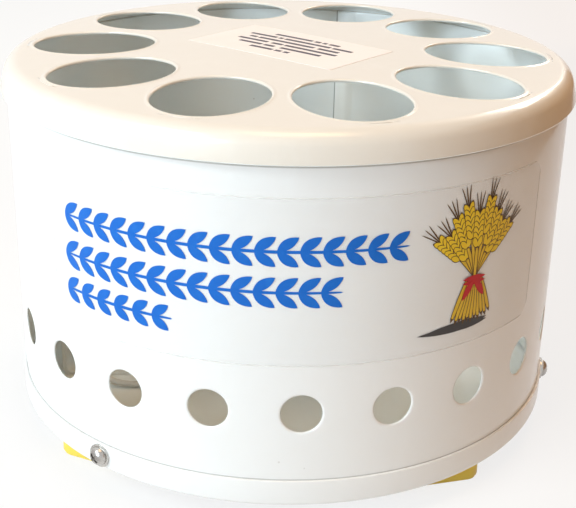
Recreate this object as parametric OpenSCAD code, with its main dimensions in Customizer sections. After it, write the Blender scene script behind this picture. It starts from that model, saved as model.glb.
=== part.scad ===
// Egg candling lamp: a sheet-metal drum on four block feet, with a lift-off lid that has ten
// oval egg holes and a mains filament lamp lying on its side in the drum.
// The origin is on the floor under the drum's axis, +Z is up and the front looks along -Y.

/* [Drum] */
// Thickness of the drum wall sheet
shell_t = 1; // [0.8:0.1:1.4]
// Height from the underside of the pan to the lid's apex
body_h = 134; // [124:1:160]
// Depth of the drum wall's top edge below the lid's apex
shell_drop = 6.6; // [6.4:0.1:7.4]
// Width of the wall's lap seam at the back
lap_w = 10; // [6:0.5:10]
// Azimuth of the seam's inner edge, from the front to the right
lap_az = 167.3; // [165:0.1:172]

/* [Lid] */
// Thickness of the lid sheet
lid_t = 1; // [0.8:0.1:1.2]
// Gap between the drum wall and the mouth of the lid's skirt
skirt_gap = 1.3; // [1:0.1:2]
// Depth of the lid from its apex to the edge of the skirt
lid_depth = 12.3; // [11:0.1:18]
// Rise of the lid's crown above its shoulder
crown_rise = 2.1; // [0.5:0.1:2.2]
// Outer radius of the lid's shoulder
shoulder_r = 3.5; // [2:0.1:3.6]
// Outward flare of the skirt, in degrees
skirt_flare = 10; // [9:0.5:12]

/* [Egg holes] */
// Number of egg holes
egg_n = 10; // [9:1:12]
// Length of an egg hole, along the radius
egg_len = 46; // [40:0.5:52]
// Width of an egg hole
egg_wid = 39; // [34:0.5:44]
// Least width of the sheet left between neighbouring egg holes
egg_web = 6; // [4:0.5:10]
// Distance of the egg holes' outer ends from the drum wall's outer face
egg_rim = 8; // [6:0.5:14]
// Azimuth of the first egg hole
egg_az = -20.26; // [-36:0.1:36]

/* [Vents] */
// Number of vent holes round the drum
vent_n = 21; // [12:1:24]
// Diameter of a vent hole
vent_d = 14.5; // [8:0.5:16]
// Height of the vent holes above the underside of the pan
vent_up = 35.4; // [35:0.1:48]
// Azimuth of the first vent hole
vent_az = 3.1; // [-8:0.1:8]

/* [Base pan] */
// Thickness of the pan sheet
pan_t = 0.8; // [0.8:0.1:1.2]
// Height of the pan's rim above its underside
pan_h = 10; // [10:0.1:14]
// Gap between the drum wall and the pan's wall
pan_gap = 0.2; // [0.1:0.05:0.5]
// Inside radius of the bend between floor and wall
pan_bend = 1; // [0.6:0.1:1.2]
// Number of screws that hold the pan to the drum
join_n = 3; // [2:1:4]
// Azimuth of the first of these screws
join_az = -37.5; // [-45:0.5:-30]
// Height of these screws above the underside of the pan
join_up = 5.4; // [5.2:0.1:5.5]

/* [Fasteners] */
// Shank diameter of the M4 screws
m4_d = 4; // [3.5:0.1:4]
// Head diameter of the M4 screws
m4_head_d = 7; // [6.5:0.1:7.5]
// Head height of the M4 screws
m4_head_h = 2.6; // [2:0.1:2.8]
// Width across flats of the M4 nuts
m4_nut_w = 7; // [6.5:0.1:7]
// Height of the M4 nuts
m4_nut_h = 3.2; // [2.4:0.1:3.2]
// Outer diameter of the washers
washer_d = 8.6; // [8:0.1:8.8]
// Thickness of the washers
washer_t = 0.8; // [0.5:0.1:1]
// Clearance of a screw in its plain hole, on the diameter
hole_gap = 0.5; // [0.3:0.1:0.6]
// Clearance of a thread and of pieces that lie on each other
seat_gap = 0.05; // [0.03:0.01:0.1]

/* [Feet] */
// Height of the feet
foot_h = 9; // [8:0.5:16]
// Width of a foot
foot_w = 31; // [24:0.5:34]
// Depth of a foot
foot_d = 27; // [22:0.5:30]
// Corner radius of a foot
foot_r = 5; // [2:0.5:8]
// Distance of a foot's screw from the pan's outer face
foot_in = 21.3; // [20:0.1:26]
// Angle of a foot from the middle line of the pattern
foot_spread = 45; // [40:0.1:48]
// Turn of a foot toward the rim
foot_turn = 19.7; // [0:0.1:30]
// Azimuth of the middle line of the pattern
foot_az = -4.7; // [-6:0.1:6]
// Diameter of the recess for the screw head under a foot
foot_sink_d = 10; // [9:0.5:12]
// Thickness of a foot over the recess
foot_web = 5; // [3:0.5:5]

/* [Lamp] */
// Height of the lamp's axis above the pan floor
lamp_up = 45; // [43:0.5:56]
// Distance of the lamp holder's back face from the drum's wall
lamp_gap = 16; // [15:0.5:20]
// Diameter of the bulb's globe
globe_d = 60; // [50:1:64]
// Overall length of the bulb
bulb_len = 105; // [98:0.5:110]
// Radius of the bulb's neck
neck_r = 13.2; // [12.8:0.1:14]
// Wall of the bulb's glass
glass_t = 0.8; // [0.6:0.1:1]
// Pitch of the lamp cap's rolled thread
thread_p = 3.63; // [3.4:0.01:3.8]
// Mean radius of the lamp cap's thread
thread_r = 12.6; // [12.4:0.05:12.7]
// Gap between the cap and the threaded sleeve
thread_gap = 0.3; // [0.2:0.05:0.4]
// Radius of the filament's loop
loop_r = 13; // [9:0.5:15]

/* [Lamp holder] */
// Length of the porcelain holder
holder_len = 46; // [44:0.5:50]
// Outer diameter of the holder's cup
holder_d = 41; // [38:0.5:44]
// Diameter of the holder's back part
holder_back_d = 38; // [36:0.5:40]
// Thickness of the holder's back part
holder_floor = 16; // [15.5:0.5:18]
// Distance between the holder's fixing screws
holder_pitch = 22; // [20:0.5:22]
// Thickness of the bracket sheet
bracket_t = 1.5; // [1:0.1:2]
// Width of the bracket
bracket_w = 36; // [30:1:38]
// Length of the bracket's leg on the floor
bracket_leg = 36; // [34:0.5:42]
// Height of the bracket above the lamp's axis
bracket_top = 18; // [17:0.5:24]
// Inside bend radius of the bracket
bracket_bend = 2; // [1:0.1:3]

/* [Wiring] */
// Diameter of a wire
wire_d = 2.4; // [1.8:0.1:2.6]
// Distance between the poles of the terminal block
pole_pitch = 10.5; // [10:0.1:12]
// Length of the terminal block along its wires
block_len = 17; // [15:0.5:19]
// Height of the poles above the pan floor
pole_up = 7; // [6.5:0.1:8]
// Sideways place of the terminal block
block_x = 8; // [4:0.5:12]
// Distance of the terminal block's middle from the drum's wall
block_gap = 40; // [38:0.5:44]
// Bore of the cord grommet
cord_bore = 7.2; // [5:0.1:8]
// Diameter of the grommet's hole in the wall
cord_hole = 12; // [11:0.5:13]
// Diameter of the grommet's flanges
cord_flange = 15; // [14.5:0.5:15.5]
// Height of the cord grommet above the underside of the pan
cord_up = 19.2; // [18.8:0.1:19.4]

/* [Hidden] */
$fn = 64;
egg_half = 180 / egg_n;
egg_reach = norm([egg_len / 2 * sin(egg_half), egg_wid / 2 * cos(egg_half)]);
egg_ring_r = (egg_reach + egg_web / 2) / sin(egg_half);
shell_r = egg_ring_r + egg_len / 2 + egg_rim;
wall_r = shell_r - shell_t;
pan_z = foot_h;
floor_z = pan_z + pan_t;
apex_z = pan_z + body_h;
shell_z0 = floor_z + pan_bend + 0.1;
shell_z1 = apex_z - shell_drop;
pan_r = shell_r + pan_gap + pan_t;
skirt_r = shell_r + skirt_gap + lid_t;
foot_ring_r = pan_r - foot_in;
lamp_back = wall_r - lamp_gap;
block_y = wall_r - block_gap;
join_z = pan_z + join_up;
vent_z = pan_z + vent_up;
cord_z = pan_z + cord_up;
lamp_z = floor_z + lamp_up;
m4_hole = m4_d + hole_gap;
tip_s = holder_floor + 3;
globe_s = tip_s + bulb_len - globe_d / 2;
cap_s0 = tip_s + 5;
cap_s1 = cap_s0 + 20;
neck_s = cap_s1 + 2.7;
cavity_r = thread_r + 1.7;
pole_z = floor_z + pole_up;
pole_r = wire_d / 2 + seat_gap;
clamp_s = 7.5;
clamp_y = holder_back_d / 2 - 4.5;
clamp_h = 8;
leg_x = bracket_leg - 14;
earth_x = block_x + 36;
earth_y = block_y - 30;
block_bolt_d = 3;
block_head_d = 5.1;

// Points of an arc about [x, y], from angle a to angle b
function arc(x, y, r, a, b, n) =
  [for (i = [0:n]) [x + r * cos(a + (b - a) * i / n), y + r * sin(a + (b - a) * i / n)]];

// Rectangle about the origin with rounded corners
function round_rect(w, d, r, n = 6) = concat(
  arc(w / 2 - r, d / 2 - r, r, 0, 90, n), arc(r - w / 2, d / 2 - r, r, 90, 180, n),
  arc(r - w / 2, r - d / 2, r, 180, 270, n), arc(w / 2 - r, r - d / 2, r, 270, 360, n));

// Ellipse about the origin with semi-axes a and b
function oval(a, b, n = 60) = [for (i = [0:n - 1]) [a * cos(360 * i / n), b * sin(360 * i / n)]];

// Section line of the lid at depth t under its outer face, from the axis to the skirt's edge
function lid_line(t) =
  let (
    ra = shoulder_r - t,
    zc = apex_z - crown_rise - shoulder_r,
    z0 = apex_z - lid_depth,
    rise = zc + shoulder_r * sin(skirt_flare) - z0,
    rc = skirt_r - rise * tan(skirt_flare) - shoulder_r * cos(skirt_flare)
  ) concat(
    [for (i = [0:9]) let (r = rc * i / 10) [r, apex_z - t - crown_rise * pow(r / rc, 2)]],
    arc(rc, zc, ra, 90, skirt_flare, 8),
    [[skirt_r - t / cos(skirt_flare), z0]]
  );

// Smooth curve through the points p, with n steps between neighbours
function spline(p, n) =
  let (k = len(p) - 1) concat(
    [for (i = [0:k - 1], j = [0:n - 1])
      let (
        u = j / n,
        a = p[max(i - 1, 0)],
        b = p[i],
        c = p[i + 1],
        d = p[min(i + 2, k)]
      ) 0.5 * (2 * b + (c - a) * u + (2 * a - 5 * b + 4 * c - d) * u * u
        + (3 * b - a - 3 * c + d) * u * u * u)],
    [p[k]]);

function unit(v) = v / norm(v);

// Lets the shape stand at azimuth a, seen from the front, turning to the right
module at_azimuth(a) {
  rotate([0, 0, a]) children();
}

// Puts a shape drawn along +Z on the lamp's axis, which runs from the holder to the right
module on_lamp_axis() {
  translate([-lamp_back, 0, lamp_z]) rotate([0, 90, 0]) children();
}

// Round bar from p to q
module rod(p, q, d) {
  v = q - p;
  translate(p)
    rotate([0, acos(v[2] / norm(v)), atan2(v[1], v[0])])
      cylinder(d = d, h = norm(v));
}

// Round-headed screw with its head under z = 0 and its shank up to z = len
module screw(d, len, head_d, head_h) {
  difference() {
    union() {
      cylinder(d = d, h = len);
      rotate_extrude()
        polygon(concat([[0, 0]], [for (i = [0:8])
          [head_d / 2 * cos(90 * i / 8), -head_h * sin(90 * i / 8)]]));
    }
    for (a = [45, 135])
      rotate([0, 0, a])
        translate([-head_d * 0.28, -0.5, -head_h - 1])
          cube([head_d * 0.56, 1, 1 + head_h * 0.5]);
  }
}

// Hexagon nut from z = 0 up, with a flat to the side
module nut(w, h, d) {
  difference() {
    rotate([0, 0, 30]) cylinder(d = w / cos(30), h = h, $fn = 6);
    translate([0, 0, -1]) cylinder(d = d + 2 * seat_gap, h = h + 2);
  }
}

// Places for the three pieces of each screw through the pan wall, with +Z to the drum's axis
module at_joins(r) {
  for (i = [0:join_n - 1])
    at_azimuth(join_az + 360 * i / join_n)
      translate([0, -r, join_z]) rotate([-90, 0, 0]) children();
}

// Place of one foot: right side for sx = 1, front for sy = 1
module at_foot(sx, sy) {
  rotate([0, 0, foot_az])
    mirror([sx < 0 ? 1 : 0, 0, 0])
      mirror([0, sy < 0 ? 1 : 0, 0])
        at_azimuth(foot_spread)
          translate([0, -foot_ring_r, 0]) children();
}

module at_feet() {
  for (sx = [1, -1], sy = [1, -1]) at_foot(sx, sy) children();
}

module at_bracket_screws() {
  for (y = [-1, 1]) translate([-lamp_back + leg_x, y * bracket_w * 0.31, 0]) children();
}

module at_holder_screws(s) {
  on_lamp_axis() for (x = [-1, 1]) translate([x * holder_pitch / 2, 0, s]) children();
}

module at_poles() {
  for (i = [-1:1]) translate([block_x + i * pole_pitch, block_y, 0]) children();
}

// Punch of one egg hole, along the lid's local normal
module egg_cut() {
  translate([0, 0, -8]) linear_extrude(16) polygon(oval(egg_len / 2, egg_wid / 2));
}

// Drawn lid: crowned top, rounded shoulder, flared skirt and the ring of egg holes
module lid() {
  slope = atan(2 * crown_rise * egg_ring_r / pow(skirt_r - shoulder_r, 2));
  color("Linen")
    difference() {
      rotate_extrude($fn = 128)
        polygon(concat(lid_line(0), [for (i = [18:-1:0]) lid_line(lid_t)[i]]));
      for (i = [0:egg_n - 1])
        at_azimuth(egg_az + 360 * i / egg_n)
          translate([0, -egg_ring_r, apex_z - crown_rise * pow(egg_ring_r / (skirt_r - shoulder_r), 2)])
            rotate([slope, 0, 0])
              rotate([0, 0, 90])
                egg_cut();
    }
}

// Rolled drum wall with its lap seam, vent holes, screw holes and the hole of the cord grommet
module shell() {
  color("White")
    difference() {
      union() {
        difference() {
          translate([0, 0, shell_z0])
            cylinder(r = shell_r, h = shell_z1 - shell_z0, $fn = 128);
          translate([0, 0, shell_z0 - 1])
            cylinder(r = wall_r, h = shell_z1 - shell_z0 + 2, $fn = 128);
        }
        rotate([0, 0, lap_az - 90 - lap_w / wall_r * 180 / PI])
          rotate_extrude(angle = lap_w / wall_r * 180 / PI, $fn = 128)
            translate([wall_r - shell_t, shell_z0])
              square([shell_t * 1.5, shell_z1 - shell_z0]);
      }
      for (i = [0:vent_n - 1])
        at_azimuth(vent_az + 360 * i / vent_n)
          translate([0, -shell_r - 2, vent_z])
            rotate([-90, 0, 0])
              cylinder(d = vent_d, h = 3 * shell_t + 4);
      at_joins(shell_r + 2) cylinder(d = m4_hole, h = shell_t + 4);
      translate([0, shell_r + 2, cord_z])
        rotate([90, 0, 0])
          cylinder(d = cord_hole, h = shell_t + 4);
    }
}

// Drawn base pan: floor, bend and wall with a rounded rim, drilled for all that it carries
module base_pan() {
  ro = pan_bend + pan_t;
  color("WhiteSmoke")
    difference() {
      rotate_extrude($fn = 128)
        polygon(concat(
          [[0, pan_z]],
          arc(pan_r - ro, pan_z + ro, ro, -90, 0, 6),
          arc(pan_r - pan_t / 2, pan_z + pan_h - pan_t / 2, pan_t / 2, 0, 180, 6),
          arc(pan_r - ro, pan_z + ro, pan_bend, 0, -90, 6),
          [[0, floor_z]]));
      at_joins(pan_r + 2) cylinder(d = m4_hole, h = pan_t + 4);
      at_feet() translate([0, 0, pan_z - 1]) cylinder(d = m4_hole, h = pan_t + 2);
      at_bracket_screws() translate([0, 0, pan_z - 1]) cylinder(d = m4_hole, h = pan_t + 2);
      translate([earth_x, earth_y, pan_z - 1]) cylinder(d = m4_hole, h = pan_t + 2);
      translate([block_x + pole_pitch / 2, block_y, pan_z - 1])
        cylinder(d = block_bolt_d + hole_gap, h = pan_t + 2);
    }
}

module housing_screws() {
  color("Silver")
    at_joins(pan_r + 2 * seat_gap + washer_t)
      screw(m4_d, washer_t + pan_t + pan_gap + shell_t + m4_nut_h + 2, m4_head_d, m4_head_h);
}

module housing_washers() {
  color("Gainsboro")
    at_joins(pan_r + seat_gap + washer_t)
      difference() {
        cylinder(d = washer_d, h = washer_t);
        translate([0, 0, -1]) cylinder(d = m4_d + 0.3, h = washer_t + 2);
      }
}

module housing_nuts() {
  color("Silver")
    at_joins(sqrt(pow(wall_r, 2) - pow(m4_nut_w / 1.7, 2)) - seat_gap)
      nut(m4_nut_w, m4_nut_h, m4_d);
}

// Block foot with rounded upright edges, a softened lower edge and a recess for its screw
module foot() {
  difference() {
    union() {
      translate([0, 0, 1])
        linear_extrude(foot_h - 1) polygon(round_rect(foot_w, foot_d, foot_r));
      linear_extrude(foot_h - 1) polygon(round_rect(foot_w - 1, foot_d - 1, foot_r - 0.5));
    }
    translate([0, 0, -1]) cylinder(d = foot_sink_d, h = foot_h - foot_web + 1);
    cylinder(d = m4_hole, h = foot_h + 1);
  }
}

module foot_at(sx, sy) {
  color("Khaki") at_foot(sx, sy) rotate([0, 0, foot_turn - foot_spread]) foot();
}

module foot_screws() {
  color("Silver")
    at_feet()
      translate([0, 0, foot_h - foot_web])
        screw(m4_d, foot_web + pan_t + m4_nut_h + 2, m4_head_d, m4_head_h);
}

module foot_nuts() {
  color("Silver") at_feet() translate([0, 0, floor_z]) nut(m4_nut_w, m4_nut_h, m4_d);
}

// Bent sheet bracket: a leg on the pan floor and an upright that carries the holder
module lamp_bracket() {
  up = lamp_up + bracket_top;
  ro = bracket_bend + bracket_t;
  color("LightSteelBlue")
    difference() {
      translate([-lamp_back - bracket_t, bracket_w / 2, floor_z])
        rotate([90, 0, 0])
          linear_extrude(bracket_w)
            polygon(concat(
              [[0, up]],
              arc(ro, ro, ro, 180, 270, 6),
              [[bracket_leg + bracket_t, 0], [bracket_leg + bracket_t, bracket_t]],
              arc(ro, ro, bracket_bend, 270, 180, 6),
              [[bracket_t, up]]));
      at_bracket_screws() translate([0, 0, floor_z - 1]) cylinder(d = m4_hole, h = bracket_t + 2);
      at_holder_screws(-bracket_t - 1) cylinder(d = m4_hole, h = bracket_t + 2);
      on_lamp_axis() translate([0, 0, -bracket_t - 1]) cylinder(d = 9, h = bracket_t + 2);
      for (s = [-1, 1])
        translate([-lamp_back - bracket_t - 1, s * bracket_w / 2, lamp_z + bracket_top])
          rotate([0, 90, 0])
            cylinder(r = 6, h = bracket_t + 2, $fn = 4);
    }
}

module bracket_screws() {
  color("Silver")
    at_bracket_screws()
      translate([0, 0, pan_z])
        screw(m4_d, pan_t + bracket_t + m4_nut_h + 2, m4_head_d, m4_head_h);
}

module bracket_nuts() {
  color("Silver")
    at_bracket_screws() translate([0, 0, floor_z + bracket_t]) nut(m4_nut_w, m4_nut_h, m4_d);
}

// Porcelain holder: a cup with a glazed round mouth, a back part with two clamp pockets,
// and two sunk holes for its fixing screws
module lamp_holder() {
  rb = holder_back_d / 2;
  rm = holder_d / 2;
  color("Ivory")
    on_lamp_axis()
      difference() {
        rotate_extrude()
          polygon(concat(
            [[0, 0]],
            arc(rb - 1.5, 1.5, 1.5, -90, 0, 4),
            [[rb, holder_floor - 3], [rm, holder_floor + 1]],
            arc(rm - 2, holder_len - 2, 2, 0, 90, 4),
            arc(cavity_r + 1.5, holder_len - 1.5, 1.5, 90, 180, 4),
            [[cavity_r, holder_floor], [0, holder_floor]]));
        at_clamps() {
          translate([-5, -4, -4.5]) cube([10, 20, 9]);
          translate([0, 0, 0]) rotate([0, 90, 0]) cylinder(d = wire_d + 1, h = rb);
        }
        for (x = [-1, 1])
          translate([x * holder_pitch / 2, 0, 0]) {
            translate([0, 0, -1]) cylinder(d = m4_hole, h = holder_floor + 2);
            translate([0, 0, 6]) cylinder(d = m4_head_d + 1, h = holder_floor);
          }
        translate([0, 0, -1]) cylinder(d = 5, h = holder_floor + 2);
      }
}

// Places of the two wire clamps in the holder's back part
module at_clamps() {
  for (m = [0, 1]) mirror([0, m, 0]) translate([0, clamp_y, clamp_s]) children();
}

// Threaded sleeve of the holder, in the same rolled wave as the lamp cap
module holder_sleeve() {
  n = 48;
  s0 = holder_floor + 0.3;
  s1 = holder_len - 4;
  color("Gold")
    on_lamp_axis()
      rotate_extrude()
        polygon(concat(
          [for (i = [0:n]) let (s = s0 + (s1 - s0) * i / n)
            [thread_r + thread_gap + 0.5 * cos(360 * s / thread_p), s]],
          [for (i = [n:-1:0]) let (s = s0 + (s1 - s0) * i / n)
            [thread_r + thread_gap + 0.5 + 0.5 * cos(360 * s / thread_p), s]]));
}

// Springy centre contact: a bent strip with its foot on the cavity floor
module holder_contact() {
  h = tip_s - holder_floor - 0.3;
  color("Gold")
    on_lamp_axis()
      translate([3, 0, holder_floor])
        rotate([90, 0, -90])
          linear_extrude(6)
            polygon([[-9, 0], [-5, 0], [-2, h - 0.6], [3, h - 0.6], [6, h * 0.4],
              [6.5, h * 0.4 + 0.3], [3.3, h], [-2.4, h], [-5.3, 0.6], [-9, 0.6]]);
}

module holder_clamps() {
  color("Gold")
    on_lamp_axis()
      at_clamps()
        difference() {
          translate([-clamp_h / 2, -4, -3.5]) cube([clamp_h, 6.5, 7]);
          rotate([0, 90, 0]) cylinder(d = wire_d + 2 * seat_gap, h = clamp_h);
          rotate([-90, 0, 0]) cylinder(d = 3 + 2 * seat_gap, h = 8);
        }
}

module clamp_screws() {
  color("Silver")
    on_lamp_axis()
      at_clamps()
        translate([0, 2.5 + seat_gap, 0])
          rotate([90, 0, 0])
            screw(3, 1.2, 5, 1.6);
}

module holder_screws() {
  color("Silver")
    at_holder_screws(6)
      rotate([180, 0, 0])
        screw(m4_d, 6 + bracket_t + m4_nut_h + 2, m4_head_d, m4_head_h);
}

module holder_nuts() {
  color("Silver") at_holder_screws(-bracket_t - m4_nut_h) nut(m4_nut_w, m4_nut_h, m4_d);
}

// Rolled lamp cap with its wave thread and the flange that holds the glass
module bulb_cap() {
  n = 44;
  wave = [for (i = [0:n]) let (s = cap_s0 + (cap_s1 - cap_s0) * i / n)
    [thread_r + 0.5 * cos(360 * s / thread_p), s]];
  color("Gainsboro")
    on_lamp_axis()
      rotate_extrude()
        polygon(concat(
          [[thread_r - 1.6, cap_s0 - 0.4]],
          wave,
          [[neck_r + 0.5, cap_s1 + 0.8], [neck_r + 0.5, neck_s + 0.6], [neck_r + 0.1, neck_s + 0.6],
            [neck_r + 0.1, cap_s1 + 1.2]],
          [for (i = [n:-1:1]) [wave[i][0] - 0.4, wave[i][1]]],
          [[thread_r - 1.6, cap_s0]]));
}

// Black glass button in the end of the cap
module bulb_insulator() {
  color("DimGray")
    on_lamp_axis()
      rotate_extrude()
        polygon([[0, tip_s + 0.8], [5.5, tip_s + 0.8], [thread_r - 2.2, cap_s0 - 0.9],
          [thread_r - 1.65, cap_s0 - 0.4], [thread_r - 1.65, cap_s0 + 1.5], [0, cap_s0 + 1.5]]);
}

module bulb_contact() {
  color("Silver")
    on_lamp_axis()
      rotate_extrude()
        polygon([[0, tip_s], [2.5, tip_s], [4, tip_s + 0.5], [4, tip_s + 0.78], [0, tip_s + 0.78]]);
}

// Section line of the bulb's glass at depth t: neck, hollow curve into the globe, and the globe
function glass_line(t) =
  let (
    rg = globe_d / 2,
    rh = (pow(globe_s - neck_s, 2) + pow(neck_r, 2) - pow(rg, 2)) / (2 * (rg - neck_r)),
    a = atan2(globe_s - neck_s, neck_r + rh)
  ) concat(
    [[neck_r - 2 - t, cap_s0 + 8], [neck_r - 2 - t, neck_s - 2]],
    arc(neck_r + rh, neck_s, rh + t, 180, 180 - a, 8),
    [for (i = [1:18]) let (b = -a + (90 + a) * i / 18)
      [i == 18 ? 0 : (rg - t) * cos(b), globe_s + (rg - t) * sin(b)]]);

module bulb_glass() {
  n = 28;
  color("AliceBlue", 0.4)
    on_lamp_axis()
      rotate_extrude()
        polygon(concat(glass_line(0), [for (i = [n:-1:0]) glass_line(glass_t)[i]]));
}

// Glass stem: the flare in the neck, the tube with its pinch, and the rod with its button
module bulb_stem() {
  r0 = neck_r - 2.3 - glass_t;
  color("AliceBlue", 0.6)
    on_lamp_axis()
      rotate_extrude()
        polygon([[0, cap_s0 + 9], [r0, cap_s0 + 9], [r0, cap_s0 + 10], [r0 * 0.6, cap_s0 + 13],
          [4, cap_s0 + 20], [3.5, globe_s - 24], [1.2, globe_s - 21], [1.2, globe_s - 3],
          [2.4, globe_s - 1.5], [2.4, globe_s + 1.5], [1.4, globe_s + 3], [0, globe_s + 3]]);
}

// Two lead wires and three thin supports that hold the filament's loop
module bulb_leads() {
  color("Silver")
    on_lamp_axis() {
      for (a = [20, 340])
        rod([3.1 * cos(a), 3.1 * sin(a), globe_s - 22.4],
          [loop_r * cos(a), loop_r * sin(a), globe_s - 0.45], 0.7);
      for (a = [90, 180, 270])
        rod([2.45 * cos(a), 2.45 * sin(a), globe_s],
          [(loop_r - 0.5) * cos(a), (loop_r - 0.5) * sin(a), globe_s], 0.4);
    }
}

module bulb_filament() {
  color("Gray")
    on_lamp_axis()
      translate([0, 0, globe_s])
        rotate([0, 0, 20])
          rotate_extrude(angle = 320)
            translate([loop_r, 0])
              circle(d = 0.9, $fn = 16);
}

// Three-pole terminal block: a foot strip with a barrel and two screw towers at each pole
module terminal_block() {
  color("White")
    difference() {
      union() {
        translate([block_x - 1.5 * pole_pitch, block_y - block_len / 2, floor_z])
          cube([3 * pole_pitch, block_len, pole_up - 1.5]);
        at_poles() {
          translate([0, block_len / 2, pole_z]) rotate([90, 0, 0]) cylinder(r = 3.7, h = block_len);
          for (y = [-1, 1])
            translate([0, y * block_len * 0.26, pole_z]) cylinder(d = 6.4, h = 6.5);
        }
      }
      at_poles() {
        translate([0, block_len / 2 + 1, pole_z])
          rotate([90, 0, 0])
            cylinder(r = pole_r + 0.9, h = block_len + 2);
        for (y = [-1, 1])
          translate([0, y * block_len * 0.26, pole_z]) cylinder(d = 3.6, h = 8);
      }
      translate([block_x + pole_pitch / 2, block_y, floor_z - 1])
        cylinder(d = block_bolt_d + hole_gap, h = pole_up + 6);
      translate([block_x + pole_pitch / 2, block_y, floor_z + pole_up - 1.5])
        cylinder(d = block_head_d + 0.4, h = 8);
    }
}

module terminal_tubes() {
  color("Gold")
    at_poles()
      difference() {
        translate([0, block_len / 2 - 1, pole_z])
          rotate([90, 0, 0])
            cylinder(r = pole_r + 0.85, h = block_len - 2);
        translate([0, block_len / 2, pole_z])
          rotate([90, 0, 0])
            cylinder(r = pole_r, h = block_len);
        for (y = [-1, 1])
          translate([0, y * block_len * 0.26, pole_z]) cylinder(d = 3 + 2 * seat_gap, h = 4);
      }
}

module terminal_screws() {
  color("Silver")
    at_poles()
      for (y = [-1, 1])
        translate([0, y * block_len * 0.26, pole_z + wire_d / 2 + 0.1])
          difference() {
            cylinder(d = 3, h = 4.2);
            translate([-2, -0.35, 3.4]) cube([4, 0.7, 2]);
          }
}

module block_screw() {
  color("Silver")
    translate([block_x + pole_pitch / 2, block_y, floor_z + pole_up - 1.5])
      rotate([180, 0, 0])
        screw(block_bolt_d, pole_up - 1.5 + pan_t + 4, block_head_d, 2);
}

module block_nut() {
  color("Silver")
    translate([block_x + pole_pitch / 2, block_y, pan_z - 2.4]) nut(5.5, 2.4, block_bolt_d);
}

// Round wire along the smooth curve through the points p
module wire(p) {
  c = spline(p, 5);
  n = len(c);
  k = 8;
  ref = [0.25, 0.85, 0.45];
  pts = [for (i = [0:n - 1])
    let (
      t = unit(c[min(i + 1, n - 1)] - c[max(i - 1, 0)]),
      u = unit(cross(t, ref)),
      v = cross(t, u)
    ) for (j = [0:k - 1]) c[i] + wire_d / 2 * (cos(360 * j / k) * u + sin(360 * j / k) * v)];
  polyhedron(
    points = pts,
    faces = concat(
      [[for (j = [0:k - 1]) j], [for (j = [k - 1:-1:0]) (n - 1) * k + j]],
      [for (i = [0:n - 2], j = [0:k - 1])
        let (a = i * k + j, b = i * k + (j + 1) % k) each [[a, a + k, b + k], [a, b + k, b]]]));
}

// Places that the wires run through, from the block's front to the lamp holder and the earth screw
block_front = block_y - block_len / 2;
low_z = floor_z + wire_d / 2 + 0.6;
clamp_x = -lamp_back + clamp_s;
clamp_z = lamp_z - clamp_h / 2;

module live_wire() {
  color("Wheat")
    wire([
      [block_x - pole_pitch, block_front + 4, pole_z],
      [block_x - pole_pitch, block_front - 1, pole_z],
      [block_x - pole_pitch, block_front - 3.5, pole_z],
      [block_x - pole_pitch - 4, block_front - 10, low_z + 1],
      [block_x - 40, block_front - 17.5, low_z],
      [clamp_x + 22.5, clamp_y + 14.5, low_z],
      [clamp_x + 6, clamp_y + 10, low_z + 4],
      [clamp_x, clamp_y + 2, low_z + 16],
      [clamp_x, clamp_y, clamp_z - 8],
      [clamp_x, clamp_y, clamp_z + 3]
    ]);
}

module neutral_wire() {
  color("WhiteSmoke")
    wire([
      [block_x, block_front + 4, pole_z],
      [block_x, block_front - 1, pole_z],
      [block_x, block_front - 3.5, pole_z],
      [block_x - 3, block_front - 12, low_z + 1],
      [block_x - 22, block_front - 41.5, low_z],
      [clamp_x + 40.5, -clamp_y - 3.5, low_z],
      [clamp_x + 20.5, -clamp_y - 13.5, low_z],
      [clamp_x + 6, -clamp_y - 10, low_z + 4],
      [clamp_x, -clamp_y - 2, low_z + 16],
      [clamp_x, -clamp_y, clamp_z - 8],
      [clamp_x, -clamp_y, clamp_z + 3]
    ]);
}

module earth_wire() {
  color("YellowGreen")
    wire([
      [block_x + pole_pitch, block_front + 4, pole_z],
      [block_x + pole_pitch, block_front - 1, pole_z],
      [block_x + pole_pitch, block_front - 3.5, pole_z],
      [block_x + pole_pitch, block_front - 11, low_z + 2],
      [earth_x - 15, earth_y + 1.5, low_z + 1.2],
      [earth_x - 12, earth_y, low_z + 1],
      [earth_x - 9, earth_y, low_z + 1],
      [earth_x - 6.5, earth_y, low_z + 1]
    ]);
}

// Ring tag under the earth nut, with the barrel that grips its wire
module earth_tag() {
  color("Gold")
    translate([earth_x, earth_y, floor_z])
      difference() {
        union() {
          cylinder(d = 8.5, h = 1);
          translate([-7, -2, 0]) cube([5, 4, 1]);
          translate([-11, 0, low_z + 1 - floor_z]) rotate([0, 90, 0]) cylinder(d = wire_d + 1.4, h = 5);
          translate([-11, -1.2, 0]) cube([5, 2.4, low_z + 1 - floor_z]);
        }
        translate([0, 0, -1]) cylinder(d = m4_d + 0.3, h = 4);
        translate([-12, 0, low_z + 1 - floor_z])
          rotate([0, 90, 0])
            cylinder(d = wire_d + 2 * seat_gap, h = 5.8);
      }
}

module earth_screw() {
  color("Silver")
    translate([earth_x, earth_y, pan_z])
      screw(m4_d, pan_t + 1 + m4_nut_h + 2, m4_head_d, m4_head_h);
}

module earth_nut() {
  color("Silver") translate([earth_x, earth_y, floor_z + 1]) nut(m4_nut_w, m4_nut_h, m4_d);
}

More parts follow.
